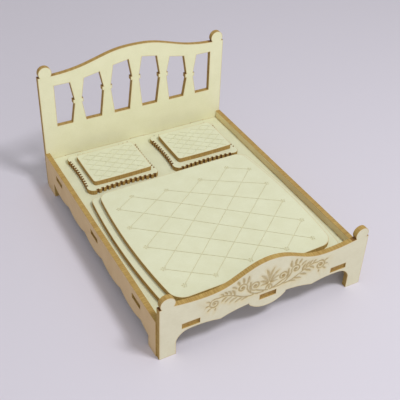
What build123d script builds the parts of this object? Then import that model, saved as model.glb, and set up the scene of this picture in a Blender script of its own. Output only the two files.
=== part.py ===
from build123d import *
import math
import os

# Miniature double bed, cut from one sheet of pale board and slotted together.
# Millimetres. X runs across the bed, +Y towards the headboard, +Z up.
# The origin is on the floor, under the middle of the bed.

# Driving dimensions
sheet = 3.0
width = 125.0
length = 165.0
post_width = 9.3

# Ball finials on the four posts, each on a short neck
finial_radius = 4.1
finial_drop = 2.3
finial_neck = 3.4
headboard_finial = 79.9
footboard_finial = 37.1

# Crown of each end board: points from the middle towards a post
headboard_crown = ((0, 86.7), (11.4, 86.0), (22.7, 83.3), (34.0, 80.1), (45.0, 78.2))
footboard_crown = ((0, 42.8), (7.5, 41.8), (15.2, 38.9), (21.7, 35.9), (28.4, 33.8), (36, 33.1), (45, 33.5))

# Legs and lower edge of the end boards, also points from the middle towards a post
lobe_bottom = 10.6
lobe_end = (11.0, 15.3)
lobe_step = (11.4, 16.5)
arch_rise = (19.5, 15.6)
arch_cusp = (28.1, 13.4)
arch_crown = (36.0, 14.9)
arch_shoulder = (44.5, 15.1)
arch_corner = (50.5, 13.2)
arch_spring = 9.0

# Windows and balusters of the headboard, from the middle outwards
window_sill = 42.8
window_heads = ((77.9, 76.2), (73.8, 71.8), (70.8, 70.8))
baluster_pitch = 19.3
baluster_half = 4.5
waist_half = 2.4
bead_half = 3.3
bead_height = 2.6
bead_middles = (64.3, 61.8, 57.2)

# Side rails, each a little proud of the posts
rail_proud = 0.5
rail_top = 24.6
rail_front_leg = 8.6
rail_rear_leg = 12.7
scallop_pitch = 25.7
scallop_cusp = 9.7
scallop_bottom = 7.0

# Bed base, and the tabs that lock it into the four boards around it
base_bottom = 16.8
tab_width = 9.8
tab_inset = 0.8
slot_play = 0.1
end_tabs = (-45.0, 0.0, 45.0)
rail_tabs = (-56.5, -0.2, 55.9)

# Quilt: a smaller board on a larger one, glued on by hand and so turned a little
quilt_lower_place = (0, -24.1)
quilt_upper_place = (0, -23.0)
quilt_turn = 1.0
quilt_lower_size = (112.2, 104.4)
quilt_upper_size = (103.8, 97.6)
quilt_bulge = (3.2, 0.4)
quilt_lower_corners = (9.0, 4.0)
quilt_upper_corners = (8.5, 6.0)

# Engraving: crossed lines, seen from the middle of the quilt, each with a mirror image
engraving_depth = 0.25
engraving_width = 0.4
quilting = (
    ((-40.2, -40.5), (44.0, 30.8)),
    ((-22.2, -41.5), (45.3, 13.3)),
    ((0, -40.0), (44.4, -5.3)),
    ((22.2, -41.5), (44.0, -24.9)),
    ((-44.0, -24.9), (32.2, 38.3)),
    ((-44.4, -5.3), (11.5, 34.7)),
    ((-45.3, 13.3), (-11.5, 34.7)),
    ((-44.0, 30.8), (-32.2, 38.3)),
)

# Small flower at the end of each line on the quilt
petals = 5
petal_radius = 0.5
petal_offset = 1.1
flower_eye = 0.35

# Pillows: a plain board on a toothed one, placed by hand, so the two differ a little
pillow_lower_size = (47.5, 42.2)
pillow_hollow = (1.6, 2.1)
pillow_lower_corner = 4.0
pillow_upper_size = (38.2, 31.2)
pillow_bulge = (0.2, 0.4)
pillow_upper_corner = 1.6
pillow_lower_places = {"left_pillow_lower": ((-28.8, 53.3), 0), "right_pillow_lower": ((27.9, 52.1), 180)}
pillow_upper_places = {"left_pillow_upper": (-28.0, 52.7), "right_pillow_upper": (28.5, 52.3)}

# Teeth of the lower pillow boards: the notches between them, and how far each row is off the middle
notch_pitch = (3.1, 2.5)
notch_width = (1.5, 1.2)
notch_depth = (1.0, 1.1)
front_notches = 13
front_shift = 1.0
rear_notches = 12
rear_shift = 1.1
side_notches = 12

# Quilting on the pillows: the same lines drawn smaller, with a dot at each end
pillow_quilting = (0.38, 0.34)
pillow_dot = 0.45

half_width = width / 2
half_length = length / 2
post_x = half_width - post_width / 2
post_inside = half_width - post_width
rail_end = half_length - sheet
rail_outside = half_width + rail_proud
rail_inside = rail_outside - sheet
front_leg_y = rail_front_leg - rail_end
rear_leg_y = rail_end - rail_rear_leg
base_top = base_bottom + sheet
board_top = base_top + 2 * sheet

os.makedirs("parts", exist_ok=True)


def sided(point, side):
    """The same point on the right (side 1) or the left (side -1) of the board."""
    return (side * point[0], point[1])


def draw_post(side, finial):
    """Outer edge of a post, its shoulder, its neck and the ball finial."""
    neck = finial - finial_drop
    flank = (finial_neck + 3 * finial_radius) / 4
    corner = sided((half_width, neck), side)
    outer_neck = sided((post_x + finial_neck, neck), side)
    outer_ball = sided((post_x + finial_radius, finial), side)
    inner_ball = sided((post_x - finial_radius, finial), side)
    Line(sided((half_width, 0), side), corner)
    Line(corner, outer_neck)
    ThreePointArc(outer_neck, sided((post_x + flank, finial - finial_drop / 2), side), outer_ball)
    ThreePointArc(outer_ball, sided((post_x, finial + finial_radius), side), inner_ball)
    ThreePointArc(
        inner_ball,
        sided((post_x - flank, finial - finial_drop / 2), side),
        sided((post_x - finial_neck, neck), side),
    )


def draw_crown(crown, finial):
    """Top edge: a crown in the middle that sweeps down to the neck of each finial."""
    right = [*crown, (post_x - finial_neck, finial - finial_drop)]
    left = [sided(point, -1) for point in right[:0:-1]]
    Spline(*left, *right)


def draw_lower_edge(side):
    """Half of the lower edge: foot, leg, arch, cusp and the step up to the lobe."""
    spring = sided((post_inside, arch_spring), side)
    shoulder = sided(arch_shoulder, side)
    cusp = sided(arch_cusp, side)
    step = sided(lobe_step, side)
    Line(sided((half_width, 0), side), sided((post_inside, 0), side))
    Line(sided((post_inside, 0), side), spring)
    ThreePointArc(spring, sided(arch_corner, side), shoulder)
    ThreePointArc(shoulder, sided(arch_crown, side), cusp)
    ThreePointArc(cusp, sided(arch_rise, side), step)
    Line(step, sided(lobe_end, side))


def draw_end_board(crown, finial):
    """Whole outline of the headboard or the footboard."""
    for side in (-1, 1):
        draw_lower_edge(side)
        draw_post(side, finial)
    ThreePointArc(sided(lobe_end, -1), (0, lobe_bottom), lobe_end)
    draw_crown(crown, finial)


def cut_tab_slots(places):
    """Slots that the tabs of the bed base pass through."""
    with Locations(*[(place, base_bottom + sheet / 2) for place in places]):
        Rectangle(tab_width + 2 * slot_play, sheet + 2 * slot_play, mode=Mode.SUBTRACT)


def baluster_edge(index, facing, head):
    """One edge of a baluster from the sill up: straight taper, square bead, straight taper."""
    centre = index * baluster_pitch
    bead = bead_middles[abs(index)]
    profile = (
        (baluster_half, window_sill),
        (waist_half, bead - bead_height / 2),
        (bead_half, bead - bead_height / 2),
        (bead_half, bead + bead_height / 2),
        (waist_half, bead + bead_height / 2),
        (baluster_half, head),
    )
    return [(centre + facing * half, z) for half, z in profile]


def cut_window(index, side):
    """Window between two balusters, or between the last baluster and the post."""
    inner_head, outer_head = window_heads[index]
    inner = baluster_edge(side * index, side, inner_head)
    if index + 1 < len(bead_middles):
        outer = baluster_edge(side * (index + 1), -side, outer_head)
    else:
        outer = [(side * post_inside, window_sill), (side * post_inside, outer_head)]
    Polygon(*inner, *reversed(outer), align=None, mode=Mode.SUBTRACT)


# Headboard
with BuildPart() as headboard:
    with BuildSketch(Plane.XZ.offset(-half_length)):
        with BuildLine():
            draw_end_board(headboard_crown, headboard_finial)
        make_face()
        for window in range(len(window_heads)):
            cut_window(window, -1)
            cut_window(window, 1)
        cut_tab_slots(end_tabs)
    extrude(amount=sheet)
headboard.part.label = "headboard"
export_step(headboard.part, "parts/headboard.step")

# Footboard
with BuildPart() as footboard:
    with BuildSketch(Plane.XZ.offset(rail_end)):
        with BuildLine():
            draw_end_board(footboard_crown, footboard_finial)
        make_face()
        cut_tab_slots(end_tabs)
    extrude(amount=sheet)
footboard.part.label = "footboard"
export_step(footboard.part, "parts/footboard.step")


def scallop_z(y):
    """Height of the rail's lower edge, a row of hanging arcs that meet in cusps."""
    half_pitch = scallop_pitch / 2
    rise = scallop_cusp - scallop_bottom
    radius = (half_pitch**2 + rise**2) / (2 * rise)
    from_middle = (rear_leg_y - y) % scallop_pitch - half_pitch
    return scallop_bottom + radius - math.sqrt(radius**2 - from_middle**2)


def draw_rail():
    """Outline of a side rail: straight top, a leg at each end, scalloped lower edge."""
    Polyline(
        (front_leg_y, scallop_z(front_leg_y)),
        (front_leg_y, 0),
        (-rail_end, 0),
        (-rail_end, rail_top),
        (rail_end, rail_top),
        (rail_end, 0),
        (rear_leg_y, 0),
        (rear_leg_y, scallop_cusp),
    )
    whole = int((rear_leg_y - front_leg_y) / scallop_pitch)
    for index in range(whole):
        start = rear_leg_y - index * scallop_pitch
        ThreePointArc(
            (start, scallop_cusp),
            (start - scallop_pitch / 2, scallop_bottom),
            (start - scallop_pitch, scallop_cusp),
        )
    last_cusp = rear_leg_y - whole * scallop_pitch
    halfway = (last_cusp + front_leg_y) / 2
    ThreePointArc(
        (last_cusp, scallop_cusp),
        (halfway, scallop_z(halfway)),
        (front_leg_y, scallop_z(front_leg_y)),
    )


# Side rails, a mirrored pair that stands between the headboard and the footboard
for name, face_x in (("left_side_rail", -rail_outside), ("right_side_rail", rail_inside)):
    with BuildPart() as rail:
        with BuildSketch(Plane.YZ.offset(face_x)):
            with BuildLine():
                draw_rail()
            make_face()
            cut_tab_slots(rail_tabs)
        extrude(amount=sheet)
    rail.part.label = name
    export_step(rail.part, f"parts/{name}.step")

# Bed base, with three tabs along each edge
with BuildPart() as bed_base:
    with BuildSketch(Plane.XY.offset(base_bottom)):
        Rectangle(2 * rail_inside, 2 * rail_end)
        with Locations(*[(x, 0) for x in end_tabs]):
            Rectangle(tab_width, length - 2 * tab_inset)
        with Locations(*[(0, y) for y in rail_tabs]):
            Rectangle(2 * rail_outside - 2 * tab_inset, tab_width)
    extrude(amount=sheet)
bed_base.part.label = "bed_base"
export_step(bed_base.part, "parts/bed_base.step")


def draw_bowed_rectangle(size, bow):
    """Four arcs from corner to corner; a positive bow swells the sides, a negative one hollows them."""
    corner_x = size[0] / 2 - max(bow[0], 0)
    corner_y = size[1] / 2 - max(bow[1], 0)
    for side in (-1, 1):
        ThreePointArc(
            (side * corner_x, -corner_y),
            (side * (corner_x + bow[0]), 0),
            (side * corner_x, corner_y),
        )
        ThreePointArc(
            (-corner_x, side * corner_y),
            (0, side * (corner_y + bow[1])),
            (corner_x, side * corner_y),
        )


def round_corners(sketch, foot_radius, head_radius):
    """Rounds the two corners at the foot of the bed and the two at the head."""
    fillet(sketch.vertices().sort_by(Axis.Y)[:2], foot_radius)
    fillet(sketch.vertices().sort_by(Axis.Y)[-2:], head_radius)


def engrave_line(start, end):
    """A straight engraved line."""
    along = Vector(*end) - Vector(*start)
    with Locations((Vector(*start) + Vector(*end)) / 2):
        Rectangle(along.length, engraving_width, rotation=math.degrees(math.atan2(along.Y, along.X)))


def scaled_quilting(scale):
    """The lines of the quilting, drawn larger or smaller, with their mirror images."""
    lines = []
    for line in quilting:
        for side in (-1, 1):
            lines.append([(side * scale[0] * x, scale[1] * y) for x, y in line])
    return lines


def line_ends(lines):
    """Each place where a line ends, once."""
    return sorted({end for line in lines for end in line})


def engrave_flowers(places):
    """Small flowers: a ring of round petals about an eye."""
    with Locations(*places):
        Circle(flower_eye)
        with PolarLocations(petal_offset, petals, start_angle=90):
            Circle(petal_radius)


# Quilt: the lower board
quilt_lower_plane = Plane(origin=(*quilt_lower_place, base_top)).rotated((0, 0, quilt_turn))
with BuildPart() as quilt_lower:
    with BuildSketch(quilt_lower_plane) as quilt_lower_sketch:
        with BuildLine():
            draw_bowed_rectangle(quilt_lower_size, quilt_bulge)
        make_face()
        round_corners(quilt_lower_sketch, *quilt_lower_corners)
    extrude(amount=sheet)
quilt_lower.part.label = "quilt_lower"
export_step(quilt_lower.part, "parts/quilt_lower.step")

# Quilt: the upper board, engraved
quilt_upper_plane = Plane(origin=(*quilt_upper_place, base_top + sheet)).rotated((0, 0, quilt_turn))
with BuildPart() as quilt_upper:
    with BuildSketch(quilt_upper_plane) as quilt_upper_sketch:
        with BuildLine():
            draw_bowed_rectangle(quilt_upper_size, quilt_bulge)
        make_face()
        round_corners(quilt_upper_sketch, *quilt_upper_corners)
    extrude(amount=sheet)
    quilt_lines = scaled_quilting((1, 1))
    with BuildSketch(quilt_upper_plane.offset(sheet)):
        for line in quilt_lines:
            engrave_line(*line)
        engrave_flowers(line_ends(quilt_lines))
    extrude(amount=-engraving_depth, mode=Mode.SUBTRACT)
quilt_upper.part.label = "quilt_upper"
export_step(quilt_upper.part, "parts/quilt_upper.step")


def edge_notches(count, pitch, shift, along):
    """Middles of the notches along an edge, with how far the hollow edge stands in there."""
    half = pillow_lower_size[along] / 2
    hollow = pillow_hollow[1 - along]
    offsets = [shift + (index - (count - 1) / 2) * pitch for index in range(count)]
    return [(offset, hollow * (1 - (offset / half) ** 2)) for offset in offsets]


def cut_notches():
    """Square notches, cut in from all four edges of a pillow board."""
    half_x = pillow_lower_size[0] / 2
    half_y = pillow_lower_size[1] / 2
    front = edge_notches(front_notches, notch_pitch[0], front_shift, 0)
    rear = edge_notches(rear_notches, notch_pitch[0], rear_shift, 0)
    sides = edge_notches(side_notches, notch_pitch[1], 0, 1)
    for side, row in ((-1, front), (1, rear)):
        with Locations(*[(offset, side * (half_y - inset)) for offset, inset in row]):
            Rectangle(notch_width[0], 2 * notch_depth[0], mode=Mode.SUBTRACT)
        with Locations(*[(side * (half_x - inset), offset) for offset, inset in sides]):
            Rectangle(2 * notch_depth[1], notch_width[1], mode=Mode.SUBTRACT)


# Pillows: the toothed lower boards, alike, with the right one turned half round
for name, (place, turn) in pillow_lower_places.items():
    with BuildPart() as pillow_lower:
        with BuildSketch(Plane(origin=(*place, base_top)).rotated((0, 0, turn))) as pillow_lower_sketch:
            with BuildLine():
                draw_bowed_rectangle(pillow_lower_size, (-pillow_hollow[0], -pillow_hollow[1]))
            make_face()
            fillet(pillow_lower_sketch.vertices(), pillow_lower_corner)
            cut_notches()
        extrude(amount=sheet)
    pillow_lower.part.label = name
    export_step(pillow_lower.part, f"parts/{name}.step")

# Pillows: the plain upper boards, engraved
for name, place in pillow_upper_places.items():
    pillow_plane = Plane(origin=(*place, base_top + sheet))
    with BuildPart() as pillow_upper:
        with BuildSketch(pillow_plane) as pillow_upper_sketch:
            with BuildLine():
                draw_bowed_rectangle(pillow_upper_size, pillow_bulge)
            make_face()
            fillet(pillow_upper_sketch.vertices(), pillow_upper_corner)
        extrude(amount=sheet)
        pillow_lines = scaled_quilting(pillow_quilting)
        with BuildSketch(pillow_plane.offset(sheet)):
            for line in pillow_lines:
                engrave_line(*line)
            with Locations(*line_ends(pillow_lines)):
                Circle(pillow_dot)
        extrude(amount=-engraving_depth, mode=Mode.SUBTRACT)
    pillow_upper.part.label = name
    export_step(pillow_upper.part, f"parts/{name}.step")
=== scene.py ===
import math

import bmesh
import bpy
from mathutils import Matrix, Vector
from mathutils.bvhtree import BVHTree
from mathutils.geometry import interpolate_bezier
from mathutils.kdtree import KDTree


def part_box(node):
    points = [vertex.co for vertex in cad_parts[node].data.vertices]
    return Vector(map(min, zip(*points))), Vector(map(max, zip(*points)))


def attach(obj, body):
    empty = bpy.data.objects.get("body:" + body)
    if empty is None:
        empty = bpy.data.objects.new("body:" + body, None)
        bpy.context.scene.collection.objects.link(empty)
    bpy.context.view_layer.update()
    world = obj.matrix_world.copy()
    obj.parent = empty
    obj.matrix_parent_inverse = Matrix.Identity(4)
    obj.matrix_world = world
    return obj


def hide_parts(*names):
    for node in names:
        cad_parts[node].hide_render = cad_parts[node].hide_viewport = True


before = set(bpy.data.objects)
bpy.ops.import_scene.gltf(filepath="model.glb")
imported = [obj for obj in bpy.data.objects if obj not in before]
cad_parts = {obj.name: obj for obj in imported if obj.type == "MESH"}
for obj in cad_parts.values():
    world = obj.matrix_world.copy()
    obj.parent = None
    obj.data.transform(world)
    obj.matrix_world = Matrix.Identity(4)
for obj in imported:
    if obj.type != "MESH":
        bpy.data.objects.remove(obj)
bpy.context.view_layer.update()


# Bed base: the flat deck, with three tabs along each edge that lock the bed together.
# It is cut by laser from pale board, which leaves the faces cream, burns the cut edges brown
# and draws a narrow scorched line round every outline.
MM = 0.001
HAIR = 0.001 * MM
ACROSS, ALONG, UP = range(3)

# Colours of the faces, the scorched outlines, the cut edges and the engraving
FACE_FLECK = (190, 182, 138)
SCORCHED = (202, 170, 106)
CHAR_DARK = (152, 120, 60)
CHAR_PALE = (202, 174, 106)
CHAR_RED = (150, 106, 52)
# Painted shade of cut edges across narrow gaps and of tab ends sunk in slots, with a little soot on the
# edges
SHADE_AND_SOOT = (108, 60, 24)
GROOVE_PALE = (184, 154, 98)
GROOVE_BROWN = (168, 136, 82)
TOASTED = (206, 186, 132)
CARVED = (150, 122, 62)

# How much of each is mixed in: where two numbers are given, the least, and what unevenness adds
FIBRE_SHARE = 0.3
FLECK_SHARE = 0.25
SCORCH_SHARE = (0.5, 0.4)
SCORCH_FADE = 1.3
RED_SHARE = 0.3
SHADE_AND_SOOT_SHARE = 0.85
TOASTED_SHARE = (0.2, 0.5)
CARVED_SHARE = (0.45, 0.5)

# How wide the patches of each are, and how far the noise is stretched through the board
MOTTLE_GRAIN = 9 * MM
FIBRE_GRAIN = 1.1 * MM
FLECK_GRAIN = 0.8 * MM
SCORCH_GRAIN = 2.5 * MM
STREAK_GRAIN = 0.5 * MM
PATCH_GRAIN = 5 * MM
FIBRE_STRETCH = (1.0, 3.5, 2.2)
STREAK_STRETCH = 0.06

# Relief and gloss
STREAK_RELIEF = 2.0
RELIEF_HEIGHT = 0.02 * MM
RELIEF_STRENGTH = 0.5
FACE_ROUGHNESS = 0.62
CHAR_ROUGHNESS = 0.2
FACE_GLOSS = 0.3


def paint(red, green, blue):
    """A colour on the usual 0 to 255 scale, as the shaders want it."""
    channels = [value / 255 for value in (red, green, blue)]
    return (*[c / 12.92 if c < 0.04 else ((c + 0.055) / 1.055) ** 2.4 for c in channels], 1.0)


class Wire:
    """A value, vector or colour in a material, with the arithmetic that the finishes use."""

    def __init__(self, tree, socket=None):
        self.tree = tree
        self.socket = socket

    def node(self, kind, settings=(), sockets=(), output=0):
        """Adds a node: its settings first, then the value or the wire of each socket."""
        made = self.tree.nodes.new("ShaderNode" + kind)
        for name, value in dict(settings).items():
            setattr(made, name, value)
        for name, value in dict(sockets).items():
            if isinstance(value, Wire):
                self.tree.links.new(value.socket, made.inputs[name])
            else:
                made.inputs[name].default_value = value
        return Wire(self.tree, made.outputs[output] if made.outputs else None)

    def math(self, operation, first, second):
        return self.node("Math", {"operation": operation}, {0: first, 1: second})

    def mix(self, factor, first, second):
        """The first colour where the factor is 0, the second where it is 1."""
        # A Mix node's colour sockets share their names with others, so they go by number
        colours = {0: factor, 6: first, 7: second}
        return self.node("Mix", {"data_type": "RGBA"}, colours, output=2)

    def noise(self, place, grain, detail=3.0, roughness=0.55):
        """Noise whose patches are about as wide as the grain."""
        sockets = {"Vector": place, "Scale": 1 / grain, "Detail": detail, "Roughness": roughness}
        return self.node("TexNoise", {}, sockets)

    def stretched(self, place, scale):
        """A place with its axes scaled, so that a noise on it is shorter along a large scale."""
        return self.node("VectorMath", {"operation": "MULTIPLY"}, {0: place, 1: scale})

    def between(self, low, high):
        """0 below low, 1 above high, and a straight slope from one to the other."""
        sockets = {"Value": self, "From Min": low, "From Max": high}
        return self.node("MapRange", {"clamp": True}, sockets)

    def __add__(self, other):
        return self.math("ADD", self, other)

    def __rsub__(self, other):
        return self.math("SUBTRACT", other, self)

    def __mul__(self, other):
        return self.math("MULTIPLY", self, other)

    def __pow__(self, other):
        return self.math("POWER", self, other)

    __radd__ = __add__
    __rmul__ = __mul__


def board_finish(name, through, light, dark, grain):
    """Board with its faces, burnt edges and engraving; through is the axis of its thickness."""
    material = bpy.data.materials.new(name)
    material.use_nodes = True
    tree = material.node_tree
    tree.nodes.clear()
    wire = Wire(tree)
    place = wire.node("TexCoord", output="Object")
    scorch, cut, shade_and_soot, engraved, carved, toasted = [
        wire.node("Attribute", {"attribute_name": name}, output="Fac")
        for name in ("scorch", "cut", "shade_and_soot", "engraved", "carved", "toasted")
    ]

    # Faces: smooth fibre board, faintly mottled, with short fibres pressed into it
    mottle = wire.noise(place, MOTTLE_GRAIN).between(0.3, 0.7)
    fibre = wire.noise(wire.stretched(place, FIBRE_STRETCH), FIBRE_GRAIN, 5.0)
    fleck = wire.noise(place, FLECK_GRAIN, 2.0).between(0.66, 0.78)
    face = wire.mix(mottle, dark, light)
    face = wire.mix(fibre.between(0.35, 0.75) * FIBRE_SHARE, face, grain)
    face = wire.mix(fleck * FLECK_SHARE, face, paint(*FACE_FLECK))

    # Scorch: a line of smoke and heat round every outline, uneven along its length
    unevenness = wire.noise(place, SCORCH_GRAIN).between(0.25, 0.75)
    heat = (scorch ** SCORCH_FADE) * (SCORCH_SHARE[0] + SCORCH_SHARE[1] * unevenness)
    face = wire.mix(heat, face, paint(*SCORCHED))

    # Cut edges: golden brown char in fine streaks through the thickness, darkened by painted shade where
    # they look across a narrow gap or sit sunk in a slot, and by a little soot
    lengthways = [1.0, 1.0, 1.0]
    lengthways[through] = STREAK_STRETCH
    streaks = wire.noise(wire.stretched(place, lengthways), STREAK_GRAIN, 4.0, 0.7).between(0.3, 0.72)
    patches = wire.noise(place, PATCH_GRAIN).between(0.3, 0.7)
    char = wire.mix(streaks, paint(*CHAR_DARK), paint(*CHAR_PALE))
    char = wire.mix(patches * RED_SHARE, char, paint(*CHAR_RED))
    # Painted shade of narrow gaps and sunk tab ends, with a little soot, darkens the char
    char = wire.mix(shade_and_soot * SHADE_AND_SOOT_SHARE, char, paint(*SHADE_AND_SOOT))

    # Engraving: quilting in plain tan, and an ornament whose ground is toasted too
    groove = wire.mix(patches, paint(*GROOVE_PALE), paint(*GROOVE_BROWN))

    colour = wire.mix(cut, face, char)
    colour = wire.mix(engraved, colour, groove)
    toasting = toasted * (TOASTED_SHARE[0] + TOASTED_SHARE[1] * patches)
    colour = wire.mix(toasting, colour, paint(*TOASTED))
    carving = carved * (CARVED_SHARE[0] + CARVED_SHARE[1] * unevenness)
    colour = wire.mix(carving, colour, paint(*CARVED))
    relief = fibre * (1 - cut) + streaks * cut * STREAK_RELIEF
    bump = wire.node("Bump", {}, {
        "Height": relief,
        "Distance": RELIEF_HEIGHT,
        "Strength": RELIEF_STRENGTH,
    })
    skin = wire.node("BsdfPrincipled", {}, {
        "Base Color": colour,
        "Roughness": FACE_ROUGHNESS + CHAR_ROUGHNESS * cut,
        "Specular IOR Level": FACE_GLOSS,
        "Normal": bump,
    })
    wire.node("OutputMaterial", {}, {"Surface": skin})
    return material


# Two tints of the face and the colour of its fibres
CREAM = (paint(224, 226, 198), paint(219, 220, 190), paint(206, 205, 168))
FLAT_BOARD = board_finish("flat_board", UP, *CREAM)


def thickness_axis(node):
    """The axis along which a board is thinnest, as 0, 1 or 2."""
    low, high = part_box(node)
    return min(range(3), key=lambda axis: high[axis] - low[axis])


def fill_level(board, edges, axis):
    """Fills the outlines that lie in one plane, and leaves the holes in them open."""
    normal = [float(index == axis) for index in range(3)]
    bmesh.ops.triangle_fill(board, use_beauty=True, edges=edges, normal=normal)


def copy_board(node, engraving=0.0):
    """Takes a board's front or upper face, engraved to that depth, and cuts it through the sheet."""
    axis = thickness_axis(node)
    low, high = (corner[axis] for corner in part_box(node))
    board = bmesh.new()
    board.from_mesh(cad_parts[node].data)
    bmesh.ops.remove_doubles(board, verts=board.verts, dist=HAIR)
    deepest = high - engraving - HAIR
    below = [face for face in board.faces if min(vertex.co[axis] for vertex in face.verts) < deepest]
    bmesh.ops.delete(board, geom=below, context="FACES")
    outline = [edge for edge in board.edges if edge.is_boundary]
    walls = bmesh.ops.extrude_edge_only(board, edges=outline)["geom"]
    lower = [item for item in walls if isinstance(item, bmesh.types.BMVert)]
    drop = Vector([(low - high) * (index == axis) for index in range(3)])
    bmesh.ops.translate(board, verts=lower, vec=drop)
    fill_level(board, [edge for edge in board.edges if edge.is_boundary], axis)
    bmesh.ops.recalc_face_normals(board, faces=board.faces)
    return board


# An edge deeper than this is cut through. A face is a cut edge unless its normal is this near upright.
DEEPEST_ENGRAVING = 0.5 * MM
NEAR_UPRIGHT = 0.9

# Rings of scorch round an outline: how wide each is, and the heat at its inner side
SCORCH_RINGS = ((0.05 * MM, 1.0), (0.2 * MM, 0.45), (0.5 * MM, 0.0))


def farthest(face, axis, plane):
    """How far a face reaches from a plane across the axis."""
    return max(abs(vertex.co[axis] - plane) for vertex in face.verts)


def ring_outline(board, node, rings=SCORCH_RINGS, burn=1.0):
    """Eases the outline of a board, rings it with scorch and marks its cut edges and engraving."""
    axis = thickness_axis(node)
    scorch = board.verts.layers.float.new("scorch")
    cut = board.faces.layers.float.new("cut")
    engraved = board.faces.layers.float.new("engraved")
    middle = sum(corner[axis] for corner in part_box(node)) / 2
    for plane in (corner[axis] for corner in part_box(node)):
        flat = [face for face in board.faces if farthest(face, axis, plane) < HAIR]
        level = set(flat)
        borders = {edge for face in flat for edge in face.edges if not level.issuperset(edge.link_faces)}
        beside = {edge: next(face for face in edge.link_faces if face not in level) for edge in borders}
        walls = {edge for edge in borders if farthest(beside[edge], axis, plane) > DEEPEST_ENGRAVING}
        for face in board.faces:
            if face not in level and farthest(face, axis, plane) < DEEPEST_ENGRAVING:
                face[engraved] = burn
        bmesh.ops.split_edges(board, edges=list(borders - walls))
        outline = set()
        for width, heat in rings:
            ring = bmesh.ops.inset_region(
                board, faces=flat, thickness=width, use_boundary=False, use_even_offset=True)
            inside = {vertex for face in flat for vertex in face.verts}
            outline = outline or {vertex for face in ring["faces"] for vertex in face.verts} - inside
            for vertex in inside:
                vertex[scorch] = heat
        for vertex in outline:
            vertex[scorch] = 1.0
            vertex.co[axis] += math.copysign(rings[0][0], middle - plane)
        level = set(flat)
        edges = {edge for face in flat for edge in face.edges}
        rim = [edge for edge in edges if edge.is_boundary or not level.issuperset(edge.link_faces)]
        bmesh.ops.delete(board, geom=flat, context="FACES_KEEP_BOUNDARY")
        fill_level(board, [edge for edge in rim if edge.is_valid], axis)
    bmesh.ops.remove_doubles(board, verts=board.verts, dist=HAIR)
    bmesh.ops.recalc_face_normals(board, faces=board.faces)
    for face in board.faces:
        face[cut] = float(abs(face.normal[axis]) < NEAR_UPRIGHT and not face[engraved])


# Painted shade darkens a cut edge that looks this far or less across at another, from just off its
# surface
NARROW_GAP = 1.8 * MM
LOOK_START = 0.02 * MM
LOOK_ANGLES = [math.radians(angle) for angle in (-60, -30, 0, 30, 60)]
FULL_GAP_SHADE = 0.5


def blacken_gaps(board, node, smoke=0.0):
    """Paints shade on the cut edges that look across a narrow gap, and marks the rest with a little
    smoke.
    """
    cut = board.faces.layers.float["cut"]
    shade_and_soot = board.faces.layers.float.new("shade_and_soot")
    through = Vector([float(index == thickness_axis(node)) for index in range(3)])
    solid = BVHTree.FromBMesh(board)
    for face in board.faces:
        if face[cut]:
            start = face.calc_center_median() + face.normal * LOOK_START
            level = face.normal.cross(through)
            looks = [face.normal * math.cos(angle) + level * math.sin(angle) for angle in LOOK_ANGLES]
            stopped = [solid.ray_cast(start, look, NARROW_GAP)[0] is not None for look in looks]
            face[shade_and_soot] = max(smoke, min(1.0, sum(stopped) / len(looks) / FULL_GAP_SHADE))


SHARP_ANGLE = math.radians(25)


def hang_board(board, node, finish):
    """Makes an object of a finished board and puts it in the node's place."""
    bmesh.ops.remove_doubles(board, verts=board.verts, dist=HAIR)
    bmesh.ops.recalc_face_normals(board, faces=board.faces)
    mesh = bpy.data.meshes.new(node + "_board")
    board.to_mesh(mesh)
    board.free()
    # The normals that came with the frame's copy don't fit the new faces
    mesh.attributes.remove(mesh.attributes["custom_normal"])
    mesh.polygons.foreach_set("use_smooth", [True] * len(mesh.polygons))
    mesh.set_sharp_from_angle(angle=SHARP_ANGLE)
    mesh.materials.append(finish)
    piece = bpy.data.objects.new(node + "_board", mesh)
    bpy.context.scene.collection.objects.link(piece)
    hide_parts(node)
    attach(piece, "root")


def make_board(node, finish, engraving=0.0, burn=1.0, rings=SCORCH_RINGS, smoke=0.0):
    """A whole board from the frame, finished: burn is how brown its engraving is, smoke its edges."""
    board = copy_board(node, engraving)
    ring_outline(board, node, rings, burn)
    blacken_gaps(board, node, smoke)
    hang_board(board, node, finish)


# The base is eased more than the rest, and the ends of its tabs, sunk in the slots of the other boards,
# get a little painted shade
BASE_RINGS = ((0.15 * MM, 1.0), (0.2 * MM, 0.4), (0.5 * MM, 0.0))
TAB_END_SHADE = 0.25

base = copy_board("bed_base")
ring_outline(base, "bed_base", BASE_RINGS)
blacken_gaps(base, "bed_base")
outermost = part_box("bed_base")[1]
# Painted shade on the tab ends, which sit sunk in the slots
for face in base.faces:
    middle = face.calc_center_median()
    if any(abs(middle[axis]) > outermost[axis] - HAIR for axis in (ACROSS, ALONG)):
        face[base.faces.layers.float["shade_and_soot"]] = TAB_END_SHADE
hang_board(base, "bed_base", FLAT_BOARD)


# Side rails: a mirrored pair with a scalloped lower edge, cut from the same board and slotted over
# the tabs of the base. Their faces are tinted: the left one browner and darker as painted shade, since
# it faces away from the lamp, and the right one lighter and more golden as painted light on its inner
# face.
# Painted shade on the left rail's face, painted light on the right rail's face
LEFT_RAIL_SHADED_TINT = (paint(220, 193, 150), paint(212, 183, 138), paint(194, 163, 113))
RIGHT_RAIL_LIT_TINT = (paint(242, 227, 182), paint(236, 219, 170), paint(222, 203, 152))

make_board("left_side_rail", board_finish("left_rail_board", ACROSS, *LEFT_RAIL_SHADED_TINT))
make_board("right_side_rail", board_finish("right_rail_board", ACROSS, *RIGHT_RAIL_LIT_TINT))


# Footboard: the low end board, with ball finials, slotted over the tabs at the foot of the base.
# A traditional scroll of leaves is engraved on its outer face, with the veins of the leaves and the
# eyes of the scrolls deepest.
CARVING_DEPTH = 0.25 * MM

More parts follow.
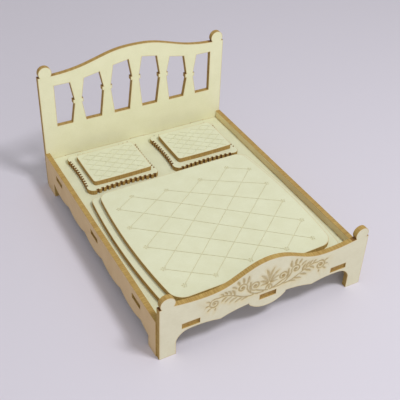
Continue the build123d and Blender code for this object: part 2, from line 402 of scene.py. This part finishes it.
# The ornament in millimetres, across the board and up: its lowest line, and its top from the middle
CARVING_FOOT = 20.9
CARVING_TOP = ((0, 41.0), (7.5, 40.0), (15.2, 37.0), (21.7, 34.1), (28.4, 32.0), (37.0, 31.2))
CARVING_ROWS = 2
CARVING_CUTS = 27

# How far a mark reaches from its middle, its share of the depth, and how far the ground is toasted
STEM_WIDTH = 0.6
VEIN_WIDTH = 0.4
EYE_WIDTH = 1.1
LEAF_SPREAD = 1.3
STEM_TONE = 0.85
LEAF_TONE = 0.62
DEEPEST_TONE = 1.0
TOAST_REACH = 2.2

STEM_STEPS = 40
SCROLL_STEPS = 40
SCROLL_TIGHTENING = 0.8
LEAF_STEPS = 16
LEAF_BEND = math.radians(34)
LEAF_ROUNDING = 0.7
LEAF_STUB = 0.05
VEIN_TAPER = 0.6

# Stems: the ends and the two handles of each curve
STEMS = (
    ((0.8, 21.8), (3.5, 22.4), (6.0, 23.6), (7.9, 24.8)),
    ((3.0, 21.9), (9.0, 21.0), (12.0, 24.5), (13.5, 28.3)),
    ((9.5, 22.2), (17.0, 21.2), (22.5, 30.5), (30.1, 28.5)),
)
# Scrolls: middle, outer radius, where the scroll starts in degrees, and its turns
SCROLLS = (
    (8.2, 28.0, 3.2, 265, 1.5),
    (16.2, 29.6, 3.0, 205, -1.4),
    (32.0, 25.8, 3.3, 125, -1.6),
)
# Leaves: foot, heading in degrees, length and half width
LEAVES = (
    (0.0, 27.4, 90, 10.0, 1.0), (0.6, 27.2, 68, 8.4, 1.0), (0.9, 26.8, 45, 6.2, 0.9),
    (1.0, 26.2, 20, 4.4, 0.8), (0.0, 25.6, 270, 3.4, 0.8), (0.7, 25.4, 310, 3.2, 0.7),
    (11.2, 24.4, 96, 5.2, 0.8), (11.8, 27.6, 108, 4.6, 0.8), (13.4, 31.8, 112, 5.0, 1.0),
    (15.6, 32.8, 96, 4.0, 0.9), (18.0, 32.4, 76, 3.6, 0.9), (19.6, 30.6, 52, 3.8, 0.8),
    (20.4, 26.8, 80, 4.6, 0.9), (22.6, 28.2, 72, 3.8, 0.9), (24.8, 29.2, 64, 3.0, 0.8),
    (27.2, 29.5, 56, 2.2, 0.7), (12.6, 22.0, 2, 4.4, 0.7), (16.0, 22.8, -4, 4.6, 0.8),
    (19.2, 24.4, -8, 4.8, 0.9), (22.2, 26.2, -14, 4.6, 0.9), (25.2, 27.4, -24, 3.8, 0.8),
    (34.9, 27.8, 42, 2.2, 0.6), (35.4, 25.4, 8, 1.8, 0.6), (34.2, 23.2, -24, 2.2, 0.6),
    (31.4, 22.4, -70, 1.6, 0.5),
)


def scroll_marks(x, z, radius, start, turns):
    """Marks along a scroll, which winds in to a broad eye: place, width and tone."""
    marks = [(x, z, EYE_WIDTH, DEEPEST_TONE)]
    steps = round(abs(turns) * SCROLL_STEPS)
    for step in range(steps):
        along = step / steps
        angle = math.radians(start + 360 * turns * along)
        reach = radius * (1 - SCROLL_TIGHTENING * along)
        marks.append((x + reach * math.cos(angle), z + reach * math.sin(angle), STEM_WIDTH, STEM_TONE))
    return marks


def leaf_marks(x, z, heading, length, half_width):
    """Marks of a leaf that bends over outwards, pale with a dark vein."""
    marks = []
    for step in range(LEAF_STEPS):
        along = step / LEAF_STEPS
        angle = math.radians(heading) - LEAF_BEND * along * (x > 0)
        swell = math.sin(math.pi * (along + LEAF_STUB)) ** LEAF_ROUNDING
        marks.append((x, z, LEAF_SPREAD * half_width * swell, LEAF_TONE))
        marks.append((x, z, VEIN_WIDTH * (1 - VEIN_TAPER * along), DEEPEST_TONE))
        x += length / LEAF_STEPS * math.cos(angle)
        z += length / LEAF_STEPS * math.sin(angle)
    return marks


def all_marks():
    """Every mark of the ornament, on the right half of the board and mirrored on the left."""
    marks = []
    for knots in STEMS:
        curve = interpolate_bezier(*[Vector(knot) for knot in knots], STEM_STEPS)
        marks += [(point.x, point.y, STEM_WIDTH, STEM_TONE) for point in curve]
    for scroll in SCROLLS:
        marks += scroll_marks(*scroll)
    for leaf in LEAVES:
        marks += leaf_marks(*leaf)
    return marks + [(-x, z, width, tone) for x, z, width, tone in marks]


def carving_top(x):
    """How high the ornament may reach, well inside the crown of the board."""
    for (inner, high), (outer, low) in zip(CARVING_TOP, CARVING_TOP[1:]):
        if abs(x) <= outer:
            return high + (low - high) * (abs(x) - inner) / (outer - inner)
    return CARVING_FOOT


def carve_front(board, plane):
    """Lays a fine grid, shaped under the crown, into the outer face and sinks the ornament into it."""
    scorch = board.verts.layers.float["scorch"]
    carved = board.verts.layers.float.new("carved")
    toasted = board.verts.layers.float.new("toasted")
    facing = [face for face in board.faces if farthest(face, ALONG, plane) < HAIR]
    flat = [face for face in facing if not any(vertex[scorch] for vertex in face.verts)]
    level = set(flat)
    rim = [edge for face in flat for edge in face.edges if not level.issuperset(edge.link_faces)]
    bmesh.ops.delete(board, geom=flat, context="FACES_KEEP_BOUNDARY")
    columns = [-x for x, top in reversed(CARVING_TOP[1:])] + [x for x, top in CARVING_TOP]
    upright = Matrix.Rotation(math.radians(90), 4, "X")
    strips = len(columns) - 1
    grid = bmesh.ops.create_grid(
        board, x_segments=strips, y_segments=CARVING_ROWS, size=1, matrix=upright)["verts"]
    for vertex in grid:
        x = columns[round((vertex.co.x + 1) / 2 * strips)]
        z = CARVING_FOOT + (vertex.co.z + 1) / 2 * (carving_top(x) - CARVING_FOOT)
        vertex.co = (x * MM, plane, z * MM)
    net = {edge for vertex in grid for edge in vertex.link_edges}
    fill_level(board, rim + [edge for edge in net if edge.is_boundary], ALONG)
    bmesh.ops.subdivide_edges(board, edges=list(net), cuts=CARVING_CUTS, use_grid_fill=True)
    grid = [vertex for vertex in board.verts if abs(vertex.co.y - plane) < HAIR]
    marks = all_marks()
    near = KDTree(len(marks))
    for index, (x, z, width, tone) in enumerate(marks):
        near.insert((x, 0, z), index)
    near.balance()
    for vertex in grid:
        place = Vector((vertex.co.x / MM, 0, vertex.co.z / MM))
        tone = 0.0
        for point, index, distance in near.find_range(place, TOAST_REACH):
            width, depth = marks[index][2:]
            vertex[toasted] = max(vertex[toasted], 1 - distance / TOAST_REACH)
            if distance < width:
                # Full depth in the inner half of a mark, and a slope in its outer half
                tone = max(tone, depth * min(1.0, 2 * (1 - distance / width)))
        vertex[carved] = tone
        vertex.co.y += CARVING_DEPTH * tone


# Painted shade: the footboard's face is tinted greyer and darker than the other boards
FOOTBOARD_SHADED_TINT = (paint(222, 218, 192), paint(216, 211, 184), paint(202, 196, 162))

footboard = copy_board("footboard")
ring_outline(footboard, "footboard")
blacken_gaps(footboard, "footboard")
carve_front(footboard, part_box("footboard")[0][ALONG])
hang_board(footboard, "footboard", board_finish("footboard_board", ALONG, *FOOTBOARD_SHADED_TINT))


# Headboard: the tall end board, pierced by six windows between flat balusters with beads. It is cut
# from the same board as the rest and slotted over the tabs at the head of the base.
HEADBOARD_SMOKE = 0.12
# Painted light: the headboard's face is tinted lighter and yellower than the other boards
HEADBOARD_LIT_TINT = (paint(236, 235, 202), paint(231, 230, 195), paint(216, 213, 172))

make_board("headboard", board_finish("headboard_board", ALONG, *HEADBOARD_LIT_TINT), smoke=HEADBOARD_SMOKE)


# Quilt: two flat boards with round corners, glued on the base one on the other. The upper one is
# engraved with crossed lines of quilting that end in small flowers.
QUILTING_DEPTH = 0.25 * MM
QUILT_BURN = 0.2
QUILT_SMOKE = 0.15

make_board("quilt_lower", FLAT_BOARD, smoke=QUILT_SMOKE)
make_board("quilt_upper", FLAT_BOARD, QUILTING_DEPTH, QUILT_BURN, smoke=QUILT_SMOKE)


# Pillows: on each side a plain board, engraved with a fine lattice, glued on a larger one with a
# toothed edge like the lace of a pillow case. Both are cut from the same board as the quilt.
PILLOW_BURN = 0.09
PILLOW_SMOKE = 0.15
TOOTH_RINGS = ((0.05 * MM, 1.0), (0.15 * MM, 0.4), (0.25 * MM, 0.0))

for side in ("left", "right"):
    make_board(side + "_pillow_lower", FLAT_BOARD, rings=TOOTH_RINGS, smoke=PILLOW_SMOKE)
    make_board(side + "_pillow_upper", FLAT_BOARD, QUILTING_DEPTH, PILLOW_BURN, smoke=PILLOW_SMOKE)


# Floor, light and camera: the bed stands on a sheet of pale paper, under one soft lamp high on the
# right and a broad weaker one in front, in an even room.
FLOOR_SIZE = 6.0
PAPER = (214, 210, 222)
PAPER_ROUGHNESS = 0.9

table = bmesh.new()
bmesh.ops.create_grid(table, x_segments=1, y_segments=1, size=FLOOR_SIZE / 2)
floor_mesh = bpy.data.meshes.new("floor")
table.to_mesh(floor_mesh)
table.free()
floor = bpy.data.objects.new("floor", floor_mesh)
bpy.context.scene.collection.objects.link(floor)
paper = bpy.data.materials.new("floor_paper")
paper.use_nodes = True
paper_skin = paper.node_tree.nodes["Principled BSDF"]
paper_skin.inputs["Base Color"].default_value = paint(*PAPER)
paper_skin.inputs["Roughness"].default_value = PAPER_ROUGHNESS
floor_mesh.materials.append(paper)

# The room is brighter where it is looked at, directly or in a reflection, than where it lights
ROOM_COLOUR = (1.0, 0.99, 0.97, 1.0)
ROOM_LIGHT = 0.47
ROOM_SEEN = 0.43

world = bpy.data.worlds.new("studio")
world.use_nodes = True
world.node_tree.nodes.clear()
sky = Wire(world.node_tree)
seen = sky.node("LightPath", output="Is Camera Ray")
glossy = sky.node("LightPath", output="Is Glossy Ray")
strength = ROOM_LIGHT + ROOM_SEEN * sky.math("MAXIMUM", seen, glossy)
background = sky.node("Background", {}, {"Color": ROOM_COLOUR, "Strength": strength})
sky.node("OutputWorld", {}, {"Surface": background})
bpy.context.scene.world = world

LAMP_DISTANCE = 1.0


def face_bed(azimuth, elevation):
    """The turn of a lamp or camera that looks at the bed from there, in degrees; 0, 0 is the front."""
    around = Matrix.Rotation(math.radians(azimuth), 4, "Z")
    return around @ Matrix.Rotation(math.radians(90 - elevation), 4, "X")


def add_lamp(name, size, power, azimuth, elevation):
    """A square soft lamp that points at the bed."""
    light = bpy.data.lights.new(name, "AREA")
    light.size = size
    light.energy = power
    lamp = bpy.data.objects.new(name, light)
    bpy.context.scene.collection.objects.link(lamp)
    lamp.matrix_world = face_bed(azimuth, elevation) @ Matrix.Translation((0, 0, LAMP_DISTANCE))


add_lamp("key_lamp", size=0.2, power=4.75, azimuth=27.7, elevation=61.0)
add_lamp("fill_lamp", size=0.8, power=1.7, azimuth=-12, elevation=26)

CAMERA_AIM = Vector((5.1, 0.9, 20.0)) * MM
CAMERA_DISTANCE = 445.8 * MM
CAMERA_AZIMUTH = -29.92
CAMERA_ELEVATION = 37.86
CAMERA_ROLL = math.radians(2.41)
CAMERA_LENS = 67.4

lens = bpy.data.cameras.new("camera")
lens.lens = CAMERA_LENS
camera = bpy.data.objects.new("camera", lens)
bpy.context.scene.collection.objects.link(camera)
turn = face_bed(CAMERA_AZIMUTH, CAMERA_ELEVATION) @ Matrix.Rotation(CAMERA_ROLL, 4, "Z")
camera.matrix_world = Matrix.Translation(CAMERA_AIM) @ turn @ Matrix.Translation((0, 0, CAMERA_DISTANCE))
bpy.context.scene.camera = camera
bpy.context.scene.view_settings.view_transform = "Standard"
